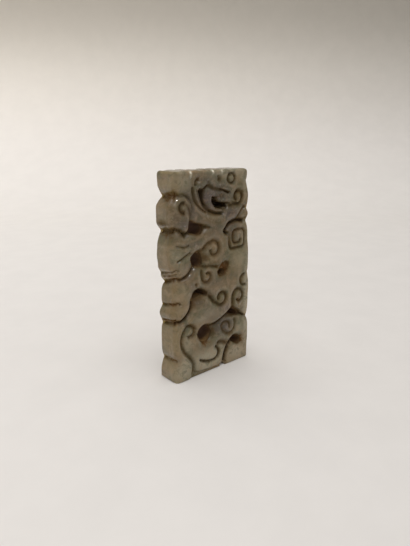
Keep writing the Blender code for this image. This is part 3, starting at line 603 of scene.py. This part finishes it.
def move_stone(mesh, places):
    """Puts the mesh's vertices at these places in drawing units."""
    spots = places - np.array((MIDDLE, -LOW.y / UNIT, 0.0))
    mesh.vertices.foreach_set("co", (spots * UNIT).astype(np.float32).ravel())
    mesh.update()


def snapped(route, tree):
    """Moves a route's points onto the stone's surface."""
    landed = []
    for x, depth, z in route:
        spot = tree.find_nearest(place(x, z, depth))[0]
        landed.append((spot.x * PER_METRE + MIDDLE, (spot.y - LOW.y) * PER_METRE, spot.z * PER_METRE))
    return np.array(landed)


def field_route(points):
    """A field's outline, moved from where its floor shows to where it lies."""
    return closed_route(points) + FIELD_SIGHT * np.array(SIGHT_SLOPE)


def sunk_ground(places):
    """How deep the ground of the fields lies at each place, seen from the front."""
    sunk = np.zeros(len(places))
    for points, depth, softness, _ in FIELDS:
        near, inside = depth_inside(places, field_route(points), FIELD_REACH)
        sunk[near] += depth * ease(inside, -0.3 * softness, softness)
    return sunk


def unslanted(route, extra=0.0):
    """Moves a route traced on the slanting view to where its sunken places really lie."""
    shown_on_front = ease(-route[:, 1], -0.5, 0.0)
    depth = (sunk_ground(route) + extra) * shown_on_front
    return route + depth[:, None] * np.array(SIGHT_SLOPE)


def hole_route(points):
    """A hole's outline, moved from where its mouth shows to where it lies."""
    return unslanted(closed_route(points), HOLE_SIGHT)


def to_route(places, route, reach, seen_flat=False):
    """Distance to a route, share of the way along it and side of it, for the places within reach.

    Returns the indices of those places first. The side is positive to the right of the route's
    direction, seen from the front. seen_flat leaves the depth out.
    """
    if seen_flat:
        places, route = places * (1, 0, 1), route * (1, 0, 1)
    low, high = route.min(0) - reach, route.max(0) + reach
    near = np.flatnonzero(((places >= low) & (places <= high)).all(1))
    if not len(near):
        return near, *np.zeros((3, 0))
    start, step = route[:-1], np.diff(route, axis=0)
    length = np.maximum((step ** 2).sum(1), 1e-12)
    gaps, shares, sides = [], [], []
    for chunk in np.array_split(places[near], 1 + len(near) * len(start) // MOST_AT_ONCE):
        offset = chunk[:, None, :] - start[None]
        along = np.clip((offset * step).sum(2) / length, 0, 1)
        miss = offset - along[..., None] * step
        square = (miss ** 2).sum(2)
        best = square.argmin(1)
        rows = np.arange(len(chunk))
        gaps.append(np.sqrt(square[rows, best]))
        shares.append((best + along[rows, best]) / len(start))
        sides.append(np.sign(step[best, 2] * miss[rows, best, 0] - step[best, 0] * miss[rows, best, 2]))
    return near, np.concatenate(gaps), np.concatenate(shares), np.concatenate(sides)


def in_outline(places, route):
    """True for each place whose (x, z) is inside a closed route."""
    x, z = places[:, 0], places[:, 2]
    inside = np.zeros(len(places), bool)
    for (x0, _, z0), (x1, _, z1) in zip(route, np.roll(route, -1, 0)):
        crosses = (z0 > z) != (z1 > z)
        inside ^= crosses & (x < (x1 - x0) * (z - z0) / ((z1 - z0) or 1e-9) + x0)
    return inside


def depth_inside(places, route, reach):
    """How far inside a closed route each place is, seen from the front; negative outside."""
    near, gap, _, _ = to_route(places, route, reach, seen_flat=True)
    return near, np.where(in_outline(places[near], route), gap, -gap)


def ease(value, low, high):
    """0 below low, 1 above high and a smooth step between."""
    share = np.clip((value - low) / (high - low), 0, 1)
    return share * share * (3 - 2 * share)


def keep_most(field, near, values):
    """Raises a field to these values at the places near, where they are higher."""
    field[near] = np.maximum(field[near], values)


def ripple(places, wave, seed):
    """Smooth noise at each place, up to the wave's height and with features of about its size."""
    height, size = wave
    shift = Vector((seed * 17.3, seed * 5.1, seed * 11.7))
    return height * np.array([noise.noise(Vector(p) / size + shift) for p in places])


def round_edge(across, depth, radius):
    """Pulls places outside a quarter circle of that radius onto it; both are distances inwards."""
    side, front = radius - across, radius - depth
    off = np.hypot(side, front)
    outside = (side > 0) & (front > 0) & (off > radius)
    pull = np.where(outside, radius / np.maximum(off, 1e-9), 1.0)
    return radius - side * pull, radius - front * pull


def side_at(z, extremes):
    """Where a scalloped side lies at each height."""
    side_x, side_z = zip(*scalloped_side(extremes)[::-1])
    return np.interp(z, side_z, side_x)


def soften_edges(places):
    """Rounds the front's worn edges, dips the top one and presses the foot flat."""
    arris_z, arris_radius = zip(*ARRIS[::-1])
    x, depth, z = places.T.copy()
    z = np.where(z < FOOT_PRESS, FOOT_PRESS * (z + FOOT_SPARE) / (FOOT_PRESS + FOOT_SPARE), z)
    left = side_at(z, LEFT_SIDE)
    across, depth = round_edge(x - left, depth, np.interp(z, arris_z, arris_radius))
    x = left + across
    right = side_at(z, RIGHT_SIDE)
    across, depth = round_edge(right - x, depth, RIGHT_EDGE)
    x = right - across
    down, depth = round_edge(GRID_HEIGHT - z, depth, TOP_EDGE)
    z = GRID_HEIGHT - down
    up, depth = round_edge(z, depth, FOOT_EDGE)
    z = up
    for dip_x, half_width, dip in TOP_DIPS:
        z -= dip * np.exp(-((x - dip_x) / half_width) ** 2) * ease(z, GRID_HEIGHT - DIP_FADE, GRID_HEIGHT)
    return np.column_stack((x, depth, z))


def between(ends, share):
    return ends[0] + (ends[1] - ends[0]) * share


def line_width(item, share):
    return WEAR * between(item["widths"], share)


def line_fullness(share):
    """1 along a line, less where the wheel entered and left the stone."""
    return THIN_END + (1 - THIN_END) * ease(np.minimum(share, 1 - share), 0.0, RUN_IN)


def line_cut(item, gap, share):
    """How deep a line is cut at that distance from its middle."""
    fullness = line_fullness(share)
    half = line_width(item, share) * (0.6 + 0.4 * fullness) / 2
    profile = sum(part * np.exp(-(gap / (spread * half)) ** 2) for spread, part in CUT_PROFILE)
    return between(item["depths"], share) * fullness * profile


def carve_lines(places, tree):
    """The route of every line over the stone, and what the lines do to the stone at each place."""
    routes = []
    relief = {name: np.zeros(len(places)) for name in ("cut", "worn", "roll_front", "roll_side", "sunk")}
    for item in LINES:
        route = snapped(unslanted(smooth_route(item["points"]), CUT_SIGHT), tree)
        routes.append(route)
        near, gap, share, _ = to_route(places, route, LINE_REACH)
        keep_most(relief["cut"], near, line_cut(item, gap, share))
        keep_most(relief["worn"], near, SHOULDER * line_fullness(share) * np.exp(-gap / SHOULDER_REACH))
        if item["cushion"]:
            roll = SIDE_ROLL * PILLOW * item["cushion"] * np.exp(-gap / PILLOW_REACH)
            keep_most(relief["roll_side"], near, roll)
            near, gap, _, _ = to_route(places, route, LINE_REACH, seen_flat=True)
            roll = PILLOW * item["cushion"] * np.exp(-gap / PILLOW_REACH)
            keep_most(relief["roll_front"], near, roll)
        if item["drop"]:
            near, gap, share, side = to_route(places, route, item["reach"], seen_flat=True)
            below = ease(gap * side, *LEE) * (1 - ease(gap, LEE[1], item["reach"]))
            below *= ease(share, 0.0, 0.1) * ease(1 - share, 0.0, 0.1)
            keep_most(relief["sunk"], near, item["drop"] * below)
    return routes, relief


def pit_gap(places, x, z):
    """Distance from a pit's middle, moved as the lines are, seen from the front."""
    return np.hypot(places[:, 0] - x - CUT_SIGHT, places[:, 2] - z)


def sunk_front(places, relief):
    """How far back the front lies at each place: fields, pits, dropped ground and rolled lobes."""
    rolled = relief["roll_front"]
    for points in HOLES.values():
        near, inside = depth_inside(places, hole_route(points), HOLE_REACH)
        keep_most(rolled, near, HOLE_ROLL * np.exp(np.minimum(inside, 0.0) / HOLE_ROLL_REACH))
    sunk = relief["sunk"] + sunk_ground(places)
    for x, z, radius, depth in PITS:
        pit = depth * np.exp(-1.6 * (pit_gap(places, x, z) / radius) ** 2)
        sunk = np.maximum(sunk, sunk * 0.5 + pit)
    swell = rolled + FRONT_WEAR + ripple(places, SLOW_SWELL, 1) + ripple(places, QUICK_SWELL, 2)
    swell *= ease(places[:, 2], 0.2, 1.6) * ease(GRID_HEIGHT - places[:, 2], 0.2, 1.6)
    return sunk + swell * ease(side_at(places[:, 2], RIGHT_SIDE) - places[:, 0], -0.5, 1.5)


def worn_inward(places, normals, relief):
    """How far each place moves in along its normal: lines, worn skin and crust, and rolled sides."""
    facing_front = ease(-normals[:, 1], 0.3, 0.8)
    turned_away = ease(normals[:, 1], -0.3, 0.2)
    inward = relief["cut"] + relief["worn"] + relief["roll_side"] * (1 - facing_front) * (1 - turned_away)
    inward += ripple(places, SKIN, 3) + SKIN_WEAR
    crusty = patches(places, CRUST)
    rough = np.flatnonzero(crusty > 0.03)
    inward[rough] += crusty[rough] * (CRUST_WEAR + ripple(places[rough], CRUST_GRAIN, 4))
    return inward * ease(places[:, 2], 0.0, 0.5)


def carve(stone):
    """Cuts the relief by moving the stone's vertices, and returns their places and colours."""
    mesh = stone.data
    places = soften_edges(drawing_places(mesh))
    move_stone(mesh, places)
    normals = per_vertex(mesh, "normal")
    tree = BVHTree.FromObject(stone, bpy.context.evaluated_depsgraph_get())
    routes, relief = carve_lines(places, tree)
    sunk = sunk_front(places, relief) * np.clip(1 - places[:, 1] / COLUMN, 0, 1)
    inward = worn_inward(places, normals, relief)
    colours = painted(places, routes)
    places -= normals * inward[:, None]
    places[:, 1] += sunk
    places = fitted(places)
    move_stone(mesh, places)
    return places, colours


def fitted(places):
    """Stretches the carved stone by a hair so that it fills the solid's box again."""
    low = np.array((LEFT_CREST, 0.0, 0.0)) + 0.01
    high = np.array((RIGHT_CREST, DEPTH, GRID_HEIGHT)) - 0.01
    first, last = places.min(0), places.max(0)
    return low + (places - first) * (high - low) / (last - first)


def thin_out(stone):
    """Brings the triangles under the limit, mostly at the back and in the holes."""
    triangles = sum(len(face.vertices) - 2 for face in stone.data.polygons)
    if triangles > MOST_TRIANGLES:
        apply_modifier(stone, "DECIMATE", ratio=MOST_TRIANGLES / triangles)


def patches(places, spots):
    """The strength of the nearest soft patch at each place."""
    strength = np.zeros(len(places))
    for centre, halves, most in spots:
        offset = (places - np.array(centre)) / np.array(halves)
        strength = np.maximum(strength, most * np.exp(-(offset ** 2).sum(1)))
    return strength


def line_stains(places, routes):
    """The stain in and beside the lines, and the painted highlights along their edges."""
    stain, rim_highlights = np.zeros((2, len(places)))
    for item, route in zip(LINES, routes):
        near, gap, share, side = to_route(places, route, STAIN_REACH)
        half = line_width(item, share) / 2
        fullness = line_fullness(share)
        # Painted highlight: a pale band beside the line where its polished rim would catch the light
        highlight_band = np.exp(-((gap - RIM_OUT * half) / RIM_WIDTH) ** 2)
        keep_most(rim_highlights, near, RIM_HIGHLIGHT * fullness * highlight_band)
        if item["drop"]:
            keep_most(stain, near, DROP_STAIN * ease(gap * side, *LEE) * np.exp(-gap / 1.6))
        band = np.exp(-(gap / (STAIN_SPREAD * half)) ** 2)
        halo = HALO * np.exp(-gap / HALO_REACH)
        keep_most(stain, near, item["stain"] * fullness * np.maximum(band, halo))
    return stain, rim_highlights


def stain_holes(places, stain):
    """Adds the holes' stain, and returns how far each place is a wall that gets painted light."""
    walls = np.zeros(len(places))
    for name, points in HOLES.items():
        near, inside = depth_inside(places, hole_route(points), WALL_REACH)
        depth = places[near, 1]
        at_back = ease(depth, DEPTH - 1.0, DEPTH - 0.1)
        wall = ease(inside, -0.5, -0.1) * ease(depth, 0.1, 0.8)
        mouth = MOUTH_STAIN * np.exp(np.minimum(inside, 0) / 0.7)
        keep_most(stain, near, np.maximum(wall, mouth) * (1 - BACK_CLEAN * at_back))
        if name != DARKEST_HOLE:
            wall_lit_share = ease(inside, -0.6, -0.1) * ease(depth, 0.1, 1.0) * (1 - at_back)
            keep_most(walls, near, wall_lit_share)
    return walls


def painted(places, routes):
    """How stained and coloured the stone is at each place, before the cutting moves it."""
    stain, rim_highlights = line_stains(places, routes)
    walls = stain_holes(places, stain)
    depth = places[:, 1]
    on_front = 1 - ease(depth, 0.5, 2.5)
    for points, _, softness, stained in FIELDS:
        near, inside = depth_inside(places, field_route(points), FIELD_REACH)
        keep_most(stain, near, stained * ease(inside, -0.2, 0.9 * softness) * on_front[near])
    for x, z, radius, _ in PITS:
        pit = np.exp(-(pit_gap(places, x, z) / radius) ** 2)
        stain = np.maximum(stain, PIT_STAIN * pit * (depth < 2.0))
    colours = {name: patches(places, spots) for name, spots in PATCHES.items()}
    # Painted highlights along the lines join the pale layer of paler stone and painted light, less where
    # painted shade lies
    colours["pale_and_painted_light"] = np.maximum(colours["pale_and_painted_light"], rim_highlights * (1 - colours["painted_shade"]))
    # Brown stain and painted shade away from the lines join the stain
    stain = np.maximum(stain, colours.pop("brown_stain_and_shade"))
    # wall and deep carry the painted light on the holes' walls
    return colours | {"stain": stain, "wall": walls, "deep": walls * ease(depth, *DEEP_WALL)}


def store(mesh, name, values):
    """Stores one number a vertex, for a material to read."""
    layer = mesh.attributes.new(name, "FLOAT", "POINT")
    layer.data.foreach_set("value", values)


def paint(stone, carved, colours):
    """Gives each vertex that is left the stain and colours of its nearest carved place."""
    tree = KDTree(len(carved))
    for index, spot in enumerate(carved):
        tree.insert(spot, index)
    tree.balance()
    nearest = [tree.find(spot)[1] for spot in drawing_places(stone.data)]
    for name, values in colours.items():
        store(stone.data, name, np.clip(values[nearest], 0, 1).astype(np.float32))


class Nodes:
    """Short ways to add and join the nodes of one material."""

    def __init__(self, name):
        self.material = bpy.data.materials.new(name)
        self.material.use_nodes = True
        self.tree = self.material.node_tree
        self.shader = self.tree.nodes["Principled BSDF"]

    def add(self, kind, values=(), **settings):
        node = self.tree.nodes.new("ShaderNode" + kind)
        for name, value in settings.items():
            setattr(node, name, value)
        for socket, value in dict(values).items():
            self.give(node.inputs[socket], value)
        return node

    def give(self, socket, value):
        if isinstance(value, bpy.types.NodeSocket):
            self.tree.links.new(value, socket)
        else:
            socket.default_value = value

    def layer(self, name):
        return self.add("Attribute", attribute_name=name).outputs["Fac"]

    def noise(self, where, scale, detail, roughness, distortion=0.0):
        values = {"Vector": where, "Scale": scale, "Detail": detail, "Roughness": roughness,
                  "Distortion": distortion}
        return self.add("TexNoise", values).outputs["Fac"]

    def plus(self, first, second, operation="ADD"):
        return self.add("Math", {0: first, 1: second}, operation=operation).outputs[0]

    def times(self, first, second):
        return self.plus(first, second, "MULTIPLY")

    def dress(self, values):
        """Gives the shader's sockets their values."""
        for socket, value in values.items():
            self.give(self.shader.inputs[socket], value)

    def spread(self, value, low, high, to_low=0.0, to_high=1.0):
        """Maps a range onto another, with soft ends."""
        node = self.add("MapRange", interpolation_type="SMOOTHSTEP")
        for socket, given in zip(node.inputs, (value, low, high, to_low, to_high)):
            self.give(socket, given)
        return node.outputs["Result"]

    def blend(self, share, first, second):
        """The first colour, covered by that share of the second."""
        node = self.add("Mix", data_type="RGBA")
        for socket, value in (("Factor", share), ("A", first), ("B", second)):
            chosen = [one for one in node.inputs if one.name == socket and one.enabled][0]
            self.give(chosen, value)
        return [one for one in node.outputs if one.enabled][0]


def colour(red, green, blue):
    """A colour seen as these shares of 255 on the screen."""
    return tuple(((part / 255 + 0.055) / 1.055) ** 2.4 for part in (red, green, blue)) + (1.0,)


# Patterns of the stone: scale, detail, roughness, distortion
PATTERNS = {
    "cloud": (130, 5, 0.6, 0.4), "wisp": (330, 4, 0.6, 1.2), "fleck": (800, 6, 0.7), "grain": (2600, 3, 0.6),
}
# Wheel scratches: turn and scale of their pattern
SCRATCH_TURN = (0.0, 0.55, 0.0)
SCRATCH_SCALE = (350, 350, 2600)
# Colours that cover the body where it was painted: layer, how much, colour. The shade layer is painted shade;
# the pale layer is paler stone and painted light
TINTS = (
    ("painted_shade", 1.0, (67, 56, 37)), ("grey", 0.65, (80, 67, 68)), ("pale_and_painted_light", 1.0, (158, 148, 124)),
    ("honey", 0.8, (116, 94, 42)),
)
# Veils of colour that follow a pattern: where it starts and is full, how much, colour
VEILS = (
    ("wisp", 0.5, 0.66, 0.4, (142, 119, 90)), ("wisp", 0.5, 0.34, 0.5, (76, 74, 44)),
    ("fleck", 0.52, 0.72, 0.35, (146, 134, 104)), ("fleck", 0.48, 0.28, 0.45, (66, 54, 30)),
    ("scratch", 0.5, 0.75, 0.08, (150, 140, 116)), ("scratch", 0.5, 0.25, 0.08, (64, 54, 32)),
)
# How much each pattern roughens the polish
ROUGHENING = (("fleck", 0.9), ("grain", 0.12), ("scratch", 0.15))


def jade_patterns(nodes):
    """The stone's patterns by name, fixed to the piece."""
    where = nodes.add("TexCoord").outputs["Object"]
    along_wheel = nodes.add("Mapping", {"Vector": where, "Rotation": SCRATCH_TURN, "Scale": SCRATCH_SCALE})
    pattern = {name: nodes.noise(where, *values) for name, values in PATTERNS.items()}
    return pattern | {"scratch": nodes.noise(along_wheel.outputs["Vector"], 1.0, 3, 0.6)}


def clean_jade(nodes, pattern):
    """Grey-green to beige nephrite, with its tints, wisps, flecks, scratches and russet."""
    body = nodes.blend(nodes.spread(pattern["cloud"], 0.36, 0.64), colour(80, 76, 40), colour(121, 98, 63))
    for name, most, tint in TINTS:
        body = nodes.blend(nodes.times(nodes.layer(name), most), body, colour(*tint))
    for name, start, full, most, tint in VEILS:
        body = nodes.blend(nodes.spread(pattern[name], start, full, 0.0, most), body, colour(*tint))
    crumb = nodes.times(nodes.spread(pattern["fleck"], 0.52, 0.64), nodes.layer("grey"))
    body = nodes.blend(nodes.times(crumb, 0.22), body, colour(176, 164, 168))
    rusty = nodes.times(nodes.layer("rust"), nodes.spread(pattern["fleck"], 0.3, 0.6, 0.3, 1.0))
    return nodes.blend(rusty, body, colour(96, 70, 28))


def stain_brown(nodes, pattern):
    """The browns of the cuts, the painted light on the holes' walls and the painted glow beside the small
    openings.
    """
    cloudy = nodes.spread(pattern["cloud"], 0.4, 0.6)
    light_brown = nodes.blend(cloudy, colour(68, 55, 28), colour(86, 66, 38))
    brown = nodes.blend(nodes.spread(nodes.layer("stain"), 0.6, 1.0), light_brown, colour(44, 31, 14))
    brown = nodes.blend(nodes.times(nodes.layer("rust"), 0.75), brown, colour(94, 58, 24))
    speckled = nodes.spread(pattern["fleck"], 0.35, 0.65)
    # Painted light on the holes' walls, with another brown further in
    lit_wall = nodes.blend(speckled, colour(76, 58, 36), colour(112, 86, 58))
    brown = nodes.blend(nodes.layer("wall"), brown, lit_wall)
    brown = nodes.blend(nodes.layer("deep"), brown, colour(86, 63, 46))
    # Painted glow where thin stone beside the small openings would let light through
    glow = nodes.times(nodes.layer("painted_glow"), nodes.layer("wall"))
    return nodes.blend(nodes.times(glow, 0.8), brown, colour(146, 116, 72))


def jade_material():
    """Nephrite, stained brown in its cuts, with a waxy polish where it is clean."""
    nodes = Nodes("worn_jade")
    pattern = jade_patterns(nodes)
    patchy = nodes.plus(nodes.times(nodes.layer("rust"), 0.8), 0.3)
    blotch = nodes.times(nodes.spread(pattern["fleck"], 0.3, 0.7, -0.5, 0.5), patchy)
    stained = nodes.spread(nodes.plus(nodes.layer("stain"), blotch), 0.1, 1.02)
    clean = nodes.plus(1.0, stained, "SUBTRACT")
    body = nodes.blend(stained, clean_jade(nodes, pattern), stain_brown(nodes, pattern))
    polish = nodes.spread(pattern["fleck"], 0.3, 0.7, 0.28, 0.42)
    height = 0.0
    for name, most in ROUGHENING:
        height = nodes.plus(height, nodes.times(pattern[name], most))
    bump = nodes.add("Bump", {"Strength": 0.5, "Distance": 0.00018, "Height": height})
    nodes.dress({
        # Near-white painted glints on the top edge cover the body
        "Base Color": nodes.blend(nodes.layer("painted_glint"), body, colour(236, 232, 214)),
        "Roughness": nodes.plus(polish, nodes.times(stained, 0.3)),
        "IOR": 1.5,
        "Specular IOR Level": nodes.spread(clean, 0.0, 1.0, 0.08, 0.3),
        "Subsurface Weight": 0.45,
        "Subsurface Radius": (1.0, 0.75, 0.45),
        "Subsurface Scale": 0.0013,
        "Coat Weight": nodes.spread(clean, 0.5, 1.0, 0.0, 0.65),
        "Coat Roughness": 0.07,
        "Normal": bump.outputs["Normal"],
    })
    return nodes.material


def make_plaque():
    stone = rough_stone()
    carved, colours = carve(stone)
    thin_out(stone)
    paint(stone, carved, colours)
    only(stone)
    bpy.ops.object.shade_smooth()
    stone.data.materials.clear()
    stone.data.materials.append(jade_material())
    return stone


# Where the camera stood, from the plaque's near bottom corner, and how it was turned
CAMERA_FROM_CORNER = Vector((-0.07206, -0.09334, 0.06597))
CAMERA_TURN = math.radians(41.5)
CAMERA_DIP = math.radians(15.5)
FOCAL_PIXELS = 456.0
PHOTO_HEIGHT = 546.0
SENSOR = 36.0


def make_camera():
    data = bpy.data.cameras.new("camera")
    data.sensor_width = SENSOR
    data.lens = FOCAL_PIXELS / PHOTO_HEIGHT * SENSOR
    data.clip_start = 0.005
    data.clip_end = 20
    camera = linked("camera", data)
    camera.location = place(0, 0) + CAMERA_FROM_CORNER
    camera.rotation_euler = (math.radians(90) - CAMERA_DIP, 0, -CAMERA_TURN)
    bpy.context.scene.camera = camera


# The paper sweep: where it begins in front of the plaque, how far behind it rises, its bend, its half
# width and length, the strips it is made of, and how far below the plaque's foot it lies
SWEEP_FRONT = -0.8
SWEEP_START = 0.30
SWEEP_BEND = 0.22
SWEEP_HALF_WIDTH = 1.2
SWEEP_LENGTH = 2.0
SWEEP_STRIPS = 160
FLOOR_GAP = 0.00002
# The paper's painted tone at distances along it, from in front of the plaque to the top of the sweep: painted
# light brightest in the bend and painted shade towards the top, and how much painted shade darkens it there
# for each metre to the right
PAPER_LIGHT_AND_SHADE = (
    (-0.6, (217, 213, 209), 0.8), (0.0, (218, 214, 210), 0.8), (0.15, (222, 218, 214), 0.65),
    (0.35, (229, 225, 220), 0.35), (0.48, (229, 224, 219), 0.6), (0.58, (218, 212, 203), 0.9),
    (0.66, (177, 171, 161), 0.75), (0.75, (158, 151, 141), 0.5),
)


def make_stage():
    """A pale paper floor that sweeps up behind the plaque into a backdrop with painted shade."""
    bpy.ops.object.select_all(action="DESELECT")
    bpy.ops.mesh.primitive_grid_add(x_subdivisions=2, y_subdivisions=SWEEP_STRIPS, size=2, location=(0, 0, 0))
    floor = bpy.context.object
    floor.name = "paper_sweep"
    arc = SWEEP_BEND * math.pi / 2
    along_paper, across_paper = [], []
    for vertex in floor.data.vertices:
        along = SWEEP_FRONT + (vertex.co.y + 1) / 2 * SWEEP_LENGTH
        past = along - SWEEP_START
        if past <= 0:
            away, up = along, 0.0
        elif past < arc:
            away = SWEEP_START + SWEEP_BEND * math.sin(past / SWEEP_BEND)
            up = SWEEP_BEND * (1 - math.cos(past / SWEEP_BEND))
        else:
            away, up = SWEEP_START + SWEEP_BEND, SWEEP_BEND + past - arc
        vertex.co = (vertex.co.x * SWEEP_HALF_WIDTH, away, up)
        along_paper.append(along)
        across_paper.append(vertex.co.x)
    store(floor.data, "along", along_paper)
    store(floor.data, "across", across_paper)
    floor.rotation_euler = (0, 0, -CAMERA_TURN)
    floor.location = (0, 0, -FLOOR_GAP)
    only(floor)
    bpy.ops.object.transform_apply(location=True, rotation=True, scale=True)
    bpy.ops.object.shade_smooth()
    floor.data.materials.append(paper_material())


def paper_ramp(nodes, share, values):
    """A smooth ramp of colours over the paper's length."""
    first, last = PAPER_LIGHT_AND_SHADE[0][0], PAPER_LIGHT_AND_SHADE[-1][0]
    ramp = nodes.add("ValToRGB", {"Fac": share})
    ramp.color_ramp.interpolation = "B_SPLINE"
    stops = ramp.color_ramp.elements
    for index, ((along, _, _), value) in enumerate(zip(PAPER_LIGHT_AND_SHADE, values)):
        position = (along - first) / (last - first)
        stop = stops[index] if index < 2 else stops.new(position)
        stop.position = position
        stop.color = value
    return ramp.outputs["Color"]


def paper_material():
    """Matt paper whose painted light and shade follow the way along the sweep, with painted shade growing to
    the right.
    """
    nodes = Nodes("sweep_paper_shaded")
    values = {"Value": nodes.layer("along"), "From Min": PAPER_LIGHT_AND_SHADE[0][0], "From Max": PAPER_LIGHT_AND_SHADE[-1][0]}
    share = nodes.add("MapRange", values).outputs["Result"]
    tones = paper_ramp(nodes, share, [colour(*tone) for _, tone, _ in PAPER_LIGHT_AND_SHADE])
    # Painted shade that darkens the paper towards the right
    painted_falloff = paper_ramp(nodes, share, [(loss, loss, loss, 1.0) for _, _, loss in PAPER_LIGHT_AND_SHADE])
    where = nodes.add("TexCoord").outputs["Object"]
    mottle = nodes.spread(nodes.noise(where, 60, 5, 0.6), 0.3, 0.7, 0.985, 1.015)
    shade = nodes.plus(mottle, nodes.times(nodes.layer("across"), painted_falloff), "SUBTRACT")
    tone = nodes.add("VectorMath", {0: tones, "Scale": shade}, operation="SCALE")
    nodes.dress({"Base Color": tone.outputs["Vector"], "Roughness": 0.95, "Specular IOR Level": 0.1})
    return nodes.material


def add_lamp(name, size, power, spot, glints_only=False):
    data = bpy.data.lights.new(name, "AREA")
    data.shape = "DISK"
    data.size = size
    data.energy = power
    lamp = linked(name, data)
    lamp.location = spot
    plaque_middle = place(MIDDLE, GRID_HEIGHT / 2)
    lamp.rotation_euler = (plaque_middle - lamp.location).to_track_quat("-Z", "Y").to_euler()
    lamp.visible_diffuse = not glints_only


def make_light():
    """Soft daylight all round, a wide overhead softbox, a small ceiling lamp and a lamp for glints alone."""
    world = bpy.data.worlds.new("soft_daylight")
    bpy.context.scene.world = world
    world.use_nodes = True
    background = world.node_tree.nodes["Background"]
    background.inputs["Color"].default_value = (1.0, 0.985, 0.965, 1)
    background.inputs["Strength"].default_value = 0.57
    add_lamp("overhead_softbox", 1.4, 8.5, (0.0, 0.0, 1.2))
    add_lamp("ceiling_lamp", 0.04, 1.3, (-0.42, -0.44, 0.9))
    add_lamp("window_glint", 0.11, 5.0, (-0.30, -0.55, 0.95), glints_only=True)


plaque = make_plaque()
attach(plaque, "root")
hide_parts("jade_plaque")
make_stage()
make_light()
make_camera()
bpy.context.scene.view_settings.view_transform = "Standard"
